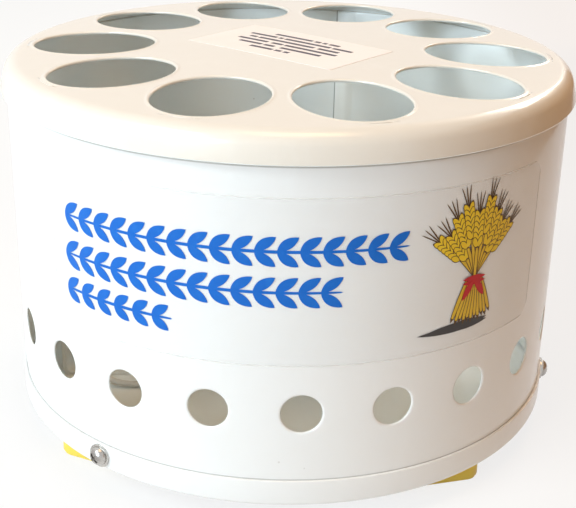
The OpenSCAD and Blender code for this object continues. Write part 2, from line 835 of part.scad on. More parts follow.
// Rubber grommet in the back wall, with a groove for the sheet
module cord_grommet() {
  rf = cord_flange / 2;
  r1 = sqrt(pow(wall_r, 2) - pow(rf, 2)) - seat_gap;
  r2 = shell_r + seat_gap;
  rg = cord_hole / 2 - 0.1;
  color("DimGray")
    translate([0, 0, cord_z])
      rotate([-90, 0, 0])
        rotate_extrude()
          polygon([[cord_bore / 2, r1 - 2.2], [rf - 0.8, r1 - 2.2], [rf, r1 - 1.4], [rf, r1],
            [rg, r1], [rg, r2], [rf, r2], [rf, r2 + 1.4], [rf - 0.8, r2 + 2.2], [cord_bore / 2, r2 + 2.2]]);
}

lid();
shell();
base_pan();
housing_screws();
housing_washers();
housing_nuts();
foot_at(1, 1);  // foot_front_right
foot_at(-1, 1);  // foot_front_left
foot_at(1, -1);  // foot_back_right
foot_at(-1, -1);  // foot_back_left
foot_screws();
foot_nuts();
lamp_bracket();
bracket_screws();
bracket_nuts();
lamp_holder();
holder_sleeve();
holder_contact();
holder_clamps();
clamp_screws();
holder_screws();
holder_nuts();
bulb_cap();
bulb_insulator();
bulb_contact();
bulb_glass();
bulb_stem();
bulb_leads();
bulb_filament();
terminal_block();
terminal_tubes();
terminal_screws();
block_screw();
block_nut();
live_wire();
neutral_wire();
earth_wire();
earth_tag();
earth_screw();
earth_nut();
cord_grommet();
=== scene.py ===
import bmesh
import bpy
import numpy as np
from mathutils import Matrix, Vector


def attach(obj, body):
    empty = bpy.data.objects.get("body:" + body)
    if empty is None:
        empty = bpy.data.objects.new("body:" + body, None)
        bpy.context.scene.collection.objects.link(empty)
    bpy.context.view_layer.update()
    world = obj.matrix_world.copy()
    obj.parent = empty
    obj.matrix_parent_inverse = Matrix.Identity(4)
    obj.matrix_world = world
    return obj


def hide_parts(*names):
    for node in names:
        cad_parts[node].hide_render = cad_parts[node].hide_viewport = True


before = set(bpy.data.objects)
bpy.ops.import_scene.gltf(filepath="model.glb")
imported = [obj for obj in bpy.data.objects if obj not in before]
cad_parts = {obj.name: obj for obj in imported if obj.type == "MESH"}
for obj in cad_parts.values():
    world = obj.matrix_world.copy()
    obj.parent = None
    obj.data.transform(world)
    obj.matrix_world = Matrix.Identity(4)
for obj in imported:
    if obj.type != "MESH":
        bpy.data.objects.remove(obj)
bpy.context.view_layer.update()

# Camera: it stands in front of the drum and looks down on its lid through a short telephoto
# lens. Three angles place its axes: how far it looks down, to the right, and leans over.
pitch, yaw, roll = np.radians((22.88, 0.66, 1.28))
camera_place = (-0.00381, -0.43666, 0.24157)
look = np.array((np.sin(yaw) * np.cos(pitch), np.cos(yaw) * np.cos(pitch), -np.sin(pitch)))
level = np.array((np.cos(yaw), -np.sin(yaw), 0.0))
above = np.cross(level, look)
camera_right = np.cos(roll) * level + np.sin(roll) * above
camera_up = np.cos(roll) * above - np.sin(roll) * level
lens = bpy.data.cameras.new("camera")
lens.sensor_fit, lens.sensor_width, lens.lens = "HORIZONTAL", 36.0, 72.856
lens.clip_start, lens.clip_end = 0.01, 50.0
camera = bpy.data.objects.new("camera", lens)
bpy.context.collection.objects.link(camera)
camera_rows = np.stack((camera_right, camera_up, -look, camera_place), 1).tolist()
camera.matrix_world = Matrix(camera_rows + [(0, 0, 0, 1)])
bpy.context.scene.camera = camera
bpy.context.scene.view_settings.view_transform = "Standard"


# Studio: a pale paper floor that grows warm to the right, a warm card on that side and a dim warm
# room. Cool soft boxes stand at the left and in front, and the low one reaches the inside through
# the egg holes. A warm box hangs over the lid, and another stands behind.
class Value:
    """A node socket with Python operators: each operator adds one Math node to its tree."""

    def __init__(self, tree, socket=None):
        self.tree, self.socket = tree, socket

    def fill(self, sockets, values):
        """Links a Value to the socket of that name or number, and sets the socket otherwise."""
        for name, value in values.items():
            if isinstance(value, Value):
                self.tree.links.new(value.socket, sockets[name])
            else:
                sockets[name].default_value = value

    def node(self, kind, settings=(), inputs=(), out=0):
        """Adds a node of that kind, with its settings first and then its sockets."""
        made = self.tree.nodes.new("ShaderNode" + kind)
        for name, value in dict(settings).items():
            setattr(made, name, value)
        self.fill(made.inputs, dict(inputs))
        return Value(self.tree, made.outputs[out])

    def math(self, operation, *terms):
        """One Math node: the operation worked on the terms in their order."""
        return self.node("Math", {"operation": operation}, dict(enumerate(terms)))

    def __add__(self, other): return self.math("ADD", self, other)
    def __radd__(self, other): return self.math("ADD", other, self)
    def __sub__(self, other): return self.math("SUBTRACT", self, other)
    def __rsub__(self, other): return self.math("SUBTRACT", other, self)
    def __mul__(self, other): return self.math("MULTIPLY", self, other)
    def __rmul__(self, other): return self.math("MULTIPLY", other, self)
    def __abs__(self): return self.math("ABSOLUTE", self)

    def step(self, low, high):
        """0 below low, 1 above high and a smooth slope between them."""
        return self.node("MapRange", {"interpolation_type": "SMOOTHSTEP"},
                         {"Value": self, "From Min": low, "From Max": high})

    def blend(self, first, second):
        """The first colour where this value is 0, the second where it is 1, mixed between."""
        first, second = (c if isinstance(c, Value) else (*c, 1.0) for c in (first, second))
        return self.node("Mix", {"data_type": "RGBA"}, {0: self, 6: first, 7: second}, out=2)

    def noise(self, scale, detail=2.0, rough=0.5):
        """Cloudy noise from 0 to 1 over these coordinates, with scale waves to the metre."""
        return self.node("TexNoise", {}, {"Vector": self, "Scale": scale, "Detail": detail,
                                          "Roughness": rough})

    def cells(self, scale):
        """Distance to the nearest of scattered points, with scale cells to the metre."""
        return self.node("TexVoronoi", {}, {"Vector": self, "Scale": scale})

    def relief(self, strength, depth):
        """The normal of a surface that this value raises by up to depth metres."""
        return self.node("Bump", {}, {"Strength": strength, "Distance": depth, "Height": self})


def seen_rays(start):
    """1 for the rays that show the studio, straight, mirrored or through glass, 0 for the rest."""
    straight, mirrored, through = (
        start.node("LightPath", out="Is " + kind + " Ray")
        for kind in ("Camera", "Glossy", "Transmission"))
    return start.math("MINIMUM", straight + mirrored + through, 1.0)


def bare_finish(name):
    """A new material, and its Object coordinates to work its pattern from."""
    finish = bpy.data.materials.new(name)
    finish.use_nodes = True
    return finish, Value(finish.node_tree).node("TexCoord", out="Object")


def coat(finish, values):
    """Gives the material's shader its values: the worked ones are linked, the even ones set."""
    skin = finish.node_tree.nodes["Principled BSDF"]
    Value(finish.node_tree).fill(skin.inputs, values)
    return finish


def studio_sheet(name, corners, finish):
    """One flat face through four corners, in metres, that belongs to the studio."""
    mesh = bpy.data.meshes.new(name)
    mesh.from_pydata(corners, [], [(0, 1, 2, 3)])
    mesh.materials.append(finish)
    made = bpy.data.objects.new(name, mesh)
    bpy.context.collection.objects.link(made)
    return made


floor_half, floor_z, floor_glow = 4.0, -0.0004, 0.80
floor_paper, here = bare_finish("floor_paper")
warmth = here.node("SeparateXYZ", {}, {0: here}, out="X").step(0.02, 0.30)
paper_tone = warmth.blend((0.82, 0.82, 0.82), (0.42, 0.27, 0.15))
shaded = here.node("BsdfDiffuse", {}, {"Color": paper_tone})
glow = here.node("Emission", {}, {"Color": (1, 1, 1, 1), "Strength": 1.0})
floor_look = here.node("MixShader", {}, {0: seen_rays(here) * floor_glow, 1: shaded, 2: glow})
here.fill(floor_paper.node_tree.nodes["Material Output"].inputs, {0: floor_look})
studio_sheet("floor", [(floor_half * x, floor_half * y, floor_z)
                       for x, y in ((-1, -1), (1, -1), (1, 1), (-1, 1))], floor_paper)

card_x, card_front, card_back, card_top = 0.42, -0.45, 0.70, 0.45
card_brown = coat(bare_finish("warm_card")[0], {"Base Color": (0.40, 0.22, 0.11, 1)})
card_edge = (card_front, 0.0), (card_front, card_top), (card_back, card_top), (card_back, 0.0)
card = studio_sheet("warm_card", [(card_x, y, z) for y, z in card_edge], card_brown)
card.visible_camera = card.visible_transmission = False

room = bpy.data.worlds.new("room")
room.use_nodes = True
bpy.context.scene.world = room
air = Value(room.node_tree)
room_colour = seen_rays(air).blend((0.21, 0.165, 0.11), (1.0, 1.0, 1.0))
air.fill(room.node_tree.nodes["Background"].inputs, {"Color": room_colour})

lamp_aim = Vector((0.0, 0.0, 0.08))
for name, place, size, power, colour in (
        ("window_box", (-1.12, -0.72, 1.30), 0.6, 16.5, (0.83, 0.95, 1.0)),
        ("front_box", (-0.78, -1.1, 0.58), 0.5, 11.8, (0.73, 0.88, 1.0)),
        ("low_box", (-1.35, 0.10, 0.60), 0.8, 5.5, (0.84, 0.96, 1.0)),
        ("ceiling_box", (0.05, -0.20, 1.30), 0.5, 4.8, (1.0, 0.60, 0.26)),
        ("back_box", (0.75, 0.95, 0.70), 0.5, 11.0, (1.0, 0.93, 0.84))):
    lamp = bpy.data.lights.new(name, "AREA")
    lamp.size, lamp.energy, lamp.color = size, power, colour
    box = bpy.data.objects.new(name, lamp)
    box.location, box.visible_camera = place, False
    box.visible_glossy = name != "low_box"
    box.rotation_mode = "QUATERNION"
    box.rotation_quaternion = (lamp_aim - Vector(place)).to_track_quat("-Z", "Y")
    bpy.context.collection.objects.link(box)


# Lid: drawn from one sheet and stove-enamelled white. It has a low crown, a rounded shoulder,
# a flared skirt and ten punched oval holes whose edges are rounded by the enamel.
MM = 0.001
apex, crown, crown_r, sheet = 143.0, 2.1, 102.565, 1.0
egg_holes, hole_ring, hole_a, hole_b, hole_az = 10, 73.98, 22.75, 19.25, -20.26
lip, bead_high, bead_out, bead_wide = 0.6, 0.22, 0.22, 0.42
inner_r, outer_r, shoulder_r, shoulder = 47.5, 98.6, 100.15, 6.0
shoulder_start, flare, hem_r, hem_z, hem_round = 88, 8, 106.8, 131.15, 0.5
sector, sector_steps = 360 / egg_holes, 24
join_gap = 2e-6    # metres within which two points of a sheet are one


def enamel(name, base, shade, seam=None, rings=()):
    """White stove enamel: a cloudy white with faint runs, orange peel and a few nibs in its bump,
    uneven gloss and a few dust specks. Seam is the azimuth, in degrees, of a line of painted shade
    along the lap's edge, and rings are the heights of corners where a line of painted shade darkens
    the wall: it fades with the distance from the corner."""
    paint, here = bare_finish(name)
    cloud = here.noise(7.0, 3.0, 0.6)
    fine = here.noise(150.0, 4.0, 0.6)
    drawn_long = here.node("Mapping", {}, {"Vector": here, "Scale": (1.0, 1.0, 0.22)})
    runs = drawn_long.noise(60.0, 4.0, 0.65)
    dust = (1.0 - here.cells(95.0).step(0.02, 0.05)) * here.noise(31.0, 1.0).step(0.62, 0.70)
    nibs = (1.0 - here.cells(70.0).step(0.0, 0.055)) * here.noise(23.0, 1.0).step(0.58, 0.64)
    tone = (cloud.step(0.2, 0.85) * 0.6 + fine.step(0.45, 1.0) * 0.4).blend(base, shade)
    tone = (runs.step(0.5, 0.8) * 0.3).blend(tone, tuple(0.3 + 0.68 * c for c in base))
    tone = (dust * 0.4).blend(tone, (0.42, 0.38, 0.33))
    # A dark line painted along the seam: painted shade of the lap's step.
    if seam:
        x, y = (here.node("SeparateXYZ", {}, {0: here}, out=axis) for axis in "XY")
        off = abs(here.math("ARCTAN2", x, 0.0 - y) - np.radians(seam))
        tone = ((1.0 - off.step(0.0018, 0.0042)) * 0.8).blend(tone, (0.27, 0.27, 0.26))
    # Lines of painted shade at the given heights, where a corner shades the wall.
    for ring in rings:
        off = abs(here.node("SeparateXYZ", {}, {0: here}, out="Z") - ring * MM)
        tone = ((1.0 - off.step(0.00010, 0.00045)) * 0.6).blend(tone, (0.30, 0.29, 0.27))
    peel = here.noise(330.0, 1.5) + 0.2 * here.noise(1300.0, 1.0) + runs + 9.0 * nibs
    return coat(paint, {"Base Color": tone,
                        "Roughness": 0.17 + 0.12 * fine + 0.10 * cloud + 0.10 * runs,
                        "Normal": peel.relief(0.05, 0.0005),
                        "Coat Weight": 0.6, "Coat Roughness": 0.07})


def quads(nu, nv, start=0):
    """Faces of a grid of nu by nv points, numbered row by row from start."""
    a = start + (np.arange(nu - 1)[:, None] * nv + np.arange(nv - 1)[None, :]).ravel()
    return np.stack((a, a + nv, a + nv + 1, a + 1), 1)


def piece(name, grids, body, slot, *hidden, paint=None, merge=1e-7, smooth=True):
    """One mesh from grids of points in millimetres; points that are equal become one."""
    starts = np.cumsum([0] + [grid.shape[0] * grid.shape[1] for grid in grids])
    points = np.concatenate([grid.reshape(-1, 3) * MM for grid in grids])
    faces = np.concatenate([quads(*grid.shape[:2], at) for grid, at in zip(grids, starts)])
    mesh = bpy.data.meshes.new(name)
    mesh.from_pydata(points.tolist(), [], faces.tolist())
    work = bmesh.new()
    work.from_mesh(mesh)
    bmesh.ops.remove_doubles(work, verts=work.verts, dist=merge)
    bmesh.ops.recalc_face_normals(work, faces=work.faces)
    work.to_mesh(mesh)
    work.free()
    mesh.polygons.foreach_set("use_smooth", np.full(len(mesh.polygons), smooth))
    if paint:
        mesh.materials.append(paint)
    made = bpy.data.objects.new(name, mesh)
    bpy.context.collection.objects.link(made)
    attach(made, body)
    if hidden:
        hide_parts(*hidden)
    return made


def pairs(a, b):
    """Points of a plane from two rows of numbers, or from a row and one number."""
    return np.stack(np.broadcast_arrays(a, b), -1)


def polar(r, t):
    """Points at radius r and angle t: r times its cosine and r times its sine."""
    return pairs(r * np.cos(t), r * np.sin(t))


def bow(x, y, r, start, end, n):
    """The n points of an arc of radius r about (x, y), with its angles in degrees."""
    return np.array((x, y)) + polar(r, np.radians(np.linspace(start, end, n)))


def turned(profile, azimuths):
    """A profile of (radius, height) turned about the drum's axis; azimuth 0 is the front."""
    a = np.radians(azimuths)[:, None]
    r, z = profile[:, 0][None, :], profile[:, 1][None, :]
    return np.stack((r * np.sin(a), -r * np.cos(a), z + 0 * a), -1)


def crown_height(r):
    """Height of the lid's top: a parabola that falls from the apex to the shoulder."""
    return apex - crown * (r / crown_r) ** 2


def egg_sector(azimuth, rows=14):
    """One tenth of the lid's top: rays run from the sector's border to the oval, up a bell-shaped
    bead of enamel, over the half-round lip and back to the border on the underside."""
    turn = np.radians(np.linspace(-sector / 2, sector / 2, sector_steps + 1))
    along = np.linspace(outer_r, inner_r, rows + 1)
    rim = np.concatenate((polar(outer_r, turn)[:-1], polar(along, turn[-1])[:-1],
                          polar(inner_r, turn[::-1])[:-1], polar(along[::-1], turn[0])))
    t = np.arctan2(rim[:, 1] / hole_b, (rim[:, 0] - hole_ring) / hole_a)
    edge = pairs(hole_ring + hole_a * np.cos(t), hole_b * np.sin(t))
    out = pairs(np.cos(t) / hole_a, np.sin(t) / hole_b)
    out /= np.linalg.norm(out, axis=1, keepdims=True)
    away = np.array((0.0, 0.15, 0.3, 0.5, 0.75, 1.1, 1.7))
    spread = np.linspace(0, 1, 8)[1:] ** 1.2
    near = (edge + lip * out)[:, None] + away[None, :, None] * out[:, None]
    far = near[:, -1:] + (rim[:, None] - near[:, -1:]) * spread[None, :, None]
    top = np.concatenate((near, far), 1)[:, ::-1]
    bell = bead_high * np.exp(-((away - bead_out) / bead_wide) ** 2)
    bell[-1] = 0.0
    bead = np.concatenate((bell, 0 * spread))[::-1]
    bend = np.radians(np.linspace(90, 270, 13))[1:-1]
    round_lip = edge[:, None] + (lip + lip * np.cos(bend))[None, :, None] * out[:, None]
    plan = np.concatenate((top, round_lip, top[:, ::-1]), 1)
    lip_depth = sheet / 2 * (1 - np.sin(bend)) - bead[-1] * np.sin(bend).clip(0, 1)
    depth = np.concatenate((-bead, lip_depth, 0 * bead + sheet))
    z = crown_height(np.linalg.norm(plan, axis=2)) - depth[None, :]
    a = np.radians(azimuth)
    return np.stack((plan[..., 0] * np.sin(a) + plan[..., 1] * np.cos(a),
                     -plan[..., 0] * np.cos(a) + plan[..., 1] * np.sin(a), z), -1)


def enamelled(made, skin, inner, inside):
    """Puts the outer enamel on a sheet, and the inner one where inside, a test of the faces' normals
    and middles, says so. The inner one is painted brighter: painted light inside."""
    made.data.materials.append(skin)
    made.data.materials.append(inner)
    faces = made.data.polygons
    normals, middles = np.empty(len(faces) * 3), np.empty(len(faces) * 3)
    faces.foreach_get("normal", normals)
    faces.foreach_get("center", middles)
    within = inside(normals.reshape(-1, 3), middles.reshape(-1, 3) / MM)
    faces.foreach_set("material_index", within.astype(np.int32))


lid_az = hole_az - sector / 2 + np.arange(egg_holes * sector_steps + 1) * sector / sector_steps
middle = np.linspace(0, inner_r, 12)
falling = np.linspace(outer_r, shoulder_r, 3)
shoulder_z = crown_height(shoulder_r) - shoulder
lid_edge = np.concatenate((
    pairs(falling, crown_height(falling))[:-1],
    bow(shoulder_r, shoulder_z, shoulder, shoulder_start, flare, 16),
    bow(hem_r, hem_z, hem_round, 10, -170, 9),
    bow(shoulder_r, shoulder_z, shoulder - sheet, flare, shoulder_start, 16),
    pairs(falling, crown_height(falling) - sheet)[-2::-1]))
lid_grids = [egg_sector(hole_az + sector * i) for i in range(egg_holes)]
lid_grids += [turned(pairs(middle, crown_height(middle) - d), lid_az) for d in (0.0, sheet)]
lid_grids.append(turned(lid_edge, lid_az))
lid = piece("lid_enamelled", lid_grids, "lid", "lid_paint", "lid", merge=join_gap)
# The inner white is painted brighter and cooler than the outer white, though it is the same enamel:
# painted light inside the lamp.
inner_white, inner_shade = (0.93, 0.97, 0.965), (0.915, 0.955, 0.945)
inner_lit_enamel = enamel("inner_enamel", inner_white, inner_shade)
# The lid's enamel is the drum's white, painted darker and warmer: painted warm light and reflection
# on its top.
enamelled(lid, enamel("lid_enamel", (0.745, 0.695, 0.625), (0.735, 0.675, 0.60)), inner_lit_enamel,
          lambda normals, middles: normals[:, 2] < -0.3)


# Drum wall: rolled sheet with a lap seam at the back, one ring of punched vent holes and a hole
# for the cord, enamelled white inside and out. It stands inside the pan's wall.
drum_r, wall, drum_low, drum_top = 105.0, 1.0, 10.9, 136.4
vents, vent_z, vent_r, vent_az, vent_patch, vent_drawn = 21, 44.4, 7.0, 3.1, 9.0, 0.95
inlet_z, inlet_r, inlet_low, inlet_first, inlet_last = 28.2, 6.0, 18.0, 167, 179
lap_az, lap_end, lap_jog = 161.82, 167.3, 3.0
lap_outer, lap_inner, lap_low, lap_top, lap_round = 104.3, 103.0, 11.2, 136.3, 0.3
half_wall, vent_steps = wall / 2, 16


def on_drum(x, z, lift):
    """A flat drawing laid round the drum, lift millimetres off its face: x is the length of arc
    from the front, z the height."""
    a = x / drum_r
    r = drum_r + lift
    return np.stack((r * np.sin(a), -r * np.cos(a), z + 0 * a), -1)


def punched(azimuth, width, z, low, high, radius, steps, rows, drawn_in=half_wall):
    """A patch of the wall with one round hole: rays from the patch's border to the hole, over
    its round edge and back on the inner face. Width is the patch's angle in degrees, drawn_in
    how far the punch has drawn the outer face in."""
    w = np.radians(width) / 2 * drum_r
    x, y = np.linspace(-w, w, steps + 1), np.linspace(high, low, rows + 1)
    rim = np.concatenate((pairs(x, high)[:-1], pairs(w, y)[:-1],
                          pairs(x[::-1], low)[:-1], pairs(-w, y[::-1])))
    centre = np.array((0.0, z))
    out = (rim - centre) / np.linalg.norm(rim - centre, axis=1, keepdims=True)
    hole = centre + radius * out
    share = np.linspace(1, 0, 6)
    face, back = (foot[:, None] + (rim - foot)[:, None] * share[None, :, None]
                  for foot in (hole + drawn_in * out, hole + half_wall * out))
    bend = np.radians(np.linspace(90, 270, 11))[1:-1]
    reach = np.where(bend < np.pi, drawn_in, half_wall) * (1 + np.cos(bend))
    round_edge = hole[:, None] + reach[None, :, None] * out[:, None]
    plan = np.concatenate((face, round_edge, back[:, ::-1]), 1)
    depth = np.concatenate((0 * share, half_wall * (1 - np.sin(bend)), 0 * share + wall))
    return on_drum(np.radians(azimuth) * drum_r + plan[..., 0], plan[..., 1], -depth[None, :])


def wall_end(start, end, rows, turn):
    """The wall's profile from one height to its edge: up its outer face, round and back inside."""
    z = np.linspace(start, end, rows)
    edge = bow(drum_r - half_wall, end, half_wall, 0, turn, 9)[1:-1]
    return np.concatenate((pairs(drum_r, z), edge, pairs(drum_r - wall, z[::-1])))


vent_step, vent_low, vent_high = 360 / vents, vent_z - vent_patch, vent_z + vent_patch
wall_az = vent_az - vent_step / 2 + np.arange(vents * vent_steps + 1) * vent_step / vent_steps
inlet_az = wall_az[inlet_first:inlet_last + 1]
beside_az = np.concatenate((wall_az[inlet_last:], wall_az[1:inlet_first + 1] + 360))
band_z = np.linspace(inlet_low, vent_low, 5)
drum_grids = [punched(vent_az + vent_step * i, vent_step, vent_z, vent_low, vent_high, vent_r,
                      vent_steps, 10, vent_drawn) for i in range(vents)]
drum_grids += [turned(wall_end(vent_high, drum_top - half_wall, 8, 180), wall_az),
               turned(wall_end(inlet_low, drum_low + half_wall, 3, -180), wall_az)]
drum_grids += [turned(pairs(r, band_z), beside_az) for r in (drum_r, drum_r - wall)]
drum_grids.append(punched(inlet_az.mean(), np.ptp(inlet_az), inlet_z, inlet_low, vent_low, inlet_r,
                          len(inlet_az) - 1, 4))
lap_turn = np.linspace(lap_az, lap_end, 17)
lap_line = np.array([(lap_outer, lap_low), (lap_inner + lap_round, lap_low),
                     (lap_inner, lap_low + lap_round), (lap_inner, lap_top - lap_round),
                     (lap_inner + lap_round, lap_top), (lap_outer, lap_top)])
jog = ((lap_turn - lap_az) / lap_jog).clip(0, 1)[:, None]
stand = 0.02 + 0.98 * jog ** 2 * (3 - 2 * jog)
lap_lift = lap_outer - stand * (lap_outer - lap_line[:, 0])[None, :] - drum_r
lap_x = np.radians(lap_turn)[:, None] * drum_r
lap_face = on_drum(lap_x + 0 * lap_lift, lap_line[:, 1], lap_lift)
lap_back = turned(pairs(lap_outer, lap_line[:, 1]), lap_turn)
drum_grids += [lap_face, lap_back] + [np.stack((lap_face[i], lap_back[i])) for i in (0, -1)]
drum = piece("drum_wall", drum_grids, "drum", "drum_paint", "shell", merge=join_gap)
outer_white, outer_shade = (0.80, 0.80, 0.795), (0.79, 0.78, 0.765)
# Where lines of painted shade go: under the lid's skirt, over the pan's rim and along the lap's
# inner edge.
pan_rim_shade_z, lid_skirt_shade_z, lap_edge_shade_az = 19.0, 129.75, 167.38
drum_skin = enamel("drum_enamel", outer_white, outer_shade, lap_az, (pan_rim_shade_z, lid_skirt_shade_z))
enamelled(drum, drum_skin, enamel("drum_inner_enamel", inner_white, inner_shade, lap_edge_shade_az),
          lambda normals, middles: (normals[:, :2] * middles[:, :2]).sum(1) < 0)


# Weld marks: the row of shallow rings that the spot welder's tips pressed into the outside of
# the lap, one above the other, before the drum was enamelled.
weld_az, weld_z = 164.5, (22.5, 62.0, 78.0, 94.0, 110.0, 125.0)
weld_r, weld_wide, weld_high, weld_edge, weld_foot, weld_sunk = 1.6, 0.55, 0.13, 2.7, 0.01, 0.06
weld_out, weld_back = 15, 4


def weld_mark(z):
    """A ring on the wall: its height over the wall is a bell about the ring's radius, and its
    back lies flat under the paint. A polar grid of radius, out and back, and angle."""
    rho = np.concatenate((np.linspace(0, weld_edge, weld_out),
                          np.linspace(weld_edge, 0, weld_back)))[:, None]
    turn = np.radians(np.linspace(0, 360, 33))[None, :]
    outside = (np.arange(weld_out + weld_back) < weld_out - 1)[:, None]
    bell = weld_foot + weld_high * np.exp(-((rho - weld_r) / weld_wide) ** 2)
    lift = np.where(outside, bell, -weld_sunk) + 0 * turn
    return on_drum(np.radians(weld_az) * drum_r + rho * np.cos(turn), z + rho * np.sin(turn), lift)


piece("weld_marks", [weld_mark(z) for z in weld_z], "drum", "drum_paint", paint=drum_skin)


# Front label: a clear film stuck on the drum. It carries three blue bands of paired leaves,
# and at the right a tied sheaf of corn; all its ink lies in thin flat shapes on the film.
film_low, film_high, film_round = 62.0, 120.0, 6.0
film_left, film_right = np.radians((-49.0, 54.8)) * drum_r
film_lift, film_thick, ink_thick = 0.05, 0.05, 0.03


def leaf(x, z, turn, length, width, bend=0.0, lift=0.14, n=13, full=0.8):
    """A flat lens from its foot at (x, z): its half width is a power of a sine, its middle line a
    parabola that leaves the straight by bend times its length. Turn 0 is upright."""
    u = np.linspace(0, 1, n)[:, None]
    row = np.array((-1, 0, 1, 1, 0, -1, -1))[None, :]
    face = np.array((1, 1, 1, 0, 0, 0, 1))[None, :] * (np.abs(u - 0.5) < 0.499)
    across = width / 2 * np.abs(np.sin(np.pi * u)) ** full * row + bend * length * u ** 2
    along = length * u + 0 * across
    t = np.radians(turn)
    return on_drum(x + across * np.cos(t) + along * np.sin(t),
                   z - across * np.sin(t) + along * np.cos(t), lift + ink_thick * face)


def ink(name, colour, pale):
    """Printed ink: even colour with fine screen grain, a little paler where it is thin."""
    print_ink, here = bare_finish(name)
    thin = here.noise(260.0, 4.0, 0.7)
    return coat(print_ink, {"Base Color": (thin.step(0.45, 0.85) * 0.5).blend(colour, pale),
                            "Roughness": 0.32 + 0.2 * thin, "Specular IOR Level": 0.25})


# The film is one grid, up its face and down its back, that narrows to its rounded corners.
corner_x = film_round * (1 - np.cos(np.linspace(0, np.pi / 2, 9)))
film_x = np.concatenate((
    film_left + corner_x,
    np.linspace(film_left + film_round, film_right - film_round, 66)[1:-1],
    film_right - corner_x[::-1]))
from_end = np.minimum(film_x - film_left, film_right - film_x).clip(0, film_round)
cut = film_round - np.sqrt(film_round ** 2 - (film_round - from_end) ** 2)
rows = np.array((0.0, 0.004, 0.012, 0.03, *np.linspace(0.06, 0.94, 12), 0.97, 0.988, 0.996, 1.0))
proud = (rows > 0) & (rows < 1)
film_z = ((film_low + cut)[:, None] + (film_high - film_low - 2 * cut)[:, None]
          * np.concatenate((rows, rows[::-1]))[None, :])
film_face = np.concatenate((proud, 0 * proud))[None, :] * (from_end > 0)[:, None]
clear_film, here = bare_finish("clear_film")
# Near its cut edge the film is paler and less clear: a painted highlight along the edge.
border = 1.0 - here.node("Attribute", {"attribute_name": "inset"}, out="Fac").step(0.15, 0.7)
patch = here.noise(25.0, 3.0, 0.6)
coat(clear_film, {"Base Color": border.blend((0.84, 0.85, 0.86), (0.96, 0.94, 0.91)),
                  "Alpha": 0.03 + 0.04 * patch + 0.40 * border,
                  "Roughness": 0.16 + 0.25 * patch})
film_grid = on_drum(film_x[:, None] + 0 * film_z, film_z, film_lift + film_thick * film_face)
film = piece("label_film", [film_grid], "drum", "drum_paint", paint=clear_film)
spots = np.empty(len(film.data.vertices) * 3)
film.data.vertices.foreach_get("co", spots)
spot_x, spot_y, spot_z = spots.reshape(-1, 3).T / MM
arc_x = np.arctan2(spot_x, -spot_y) * drum_r
inset = np.minimum.reduce((arc_x - film_left, film_right - arc_x,
                           spot_z - film_low, film_high - spot_z))
film.data.attributes.new("inset", "FLOAT", "POINT").data.foreach_set("value", inset.clip(0, 20))
film.modifiers.new("fold", "EDGE_SPLIT").split_angle = np.radians(60)

# Each band is a stem with a pair of leaves at every step from its left to its right azimuth.
bands = []
leaf_turn, leaf_share, leaf_wide, leaf_bend, stem_wide = 42, 0.76, 3.5, 0.10, 1.1
for left, right, band_middle, height, count in ((-44.7, 21.5, 102.2, 11.0, 17),
                                                (-45.0, 9.7, 88.3, 11.5, 14),
                                                (-45.0, -20.5, 75.4, 10.0, 6)):
    start, pitch_x = np.radians(left) * drum_r, np.radians(right - left) * drum_r / count
    bands.append(leaf(start, band_middle, 90, pitch_x * count, stem_wide, 0.0, 0.14, 121, 0.2))
    bands += [leaf(start + i * pitch_x, band_middle, 90 - leaf_turn * hand, height * leaf_share,
                   leaf_wide, leaf_bend * hand, 0.16) for i in range(count) for hand in (-1, 1)]
piece("label_bands", bands, "drum", "drum_paint", smooth=False,
      paint=ink("blue_ink", (0.004, 0.125, 0.52), (0.015, 0.19, 0.62)))

# The sheaf is drawn as straws below the tie, stalks that lean apart above it, and ears of grains
# with awns, over a shadow on the ground.
sheaf_x, sheaf_z = np.radians(36.0) * drum_r, 70.0
line_wide, tie_up, stalk_full = 0.3, 14.0, 0.35
straws, straw_spread, straw_turn, straw_long, straw_wide = 11, 9.0, 22, 17, 2.1
stalks, stalk_spread, stalk_turn, stalk_wide, stalk_bend = 9, 2.2, 36, 1.8, 0.12
ear_turn, ear_grains, ear_pitch, ear_start = 50, 6, 1.9, -3
grain_turn, grain_long, grain_wide, grain_bend = 27, 4.9, 2.5, -0.06
awn_start, awn_turn, awn_long, awn_wide, awn_bend = 7, 9, 10, 0.45, 0.04
outline, straw, grain = [], [], []


def drawn(fill, level, x, z, turn, length, width, bend=0.0, full=0.8):
    """A dark leaf and over it a coloured one that is a line's width smaller all round; a higher
    level hides a lower one."""
    t, lift = np.radians(turn), 0.18 + 0.004 * level
    outline.append(leaf(x, z, turn, length, width, bend, lift, 11, full))
    fill.append(leaf(x + line_wide * np.sin(t), z + line_wide * np.cos(t), turn,
                     length - 2 * line_wide, width - 2 * line_wide, bend, lift + 0.002, 11, full))


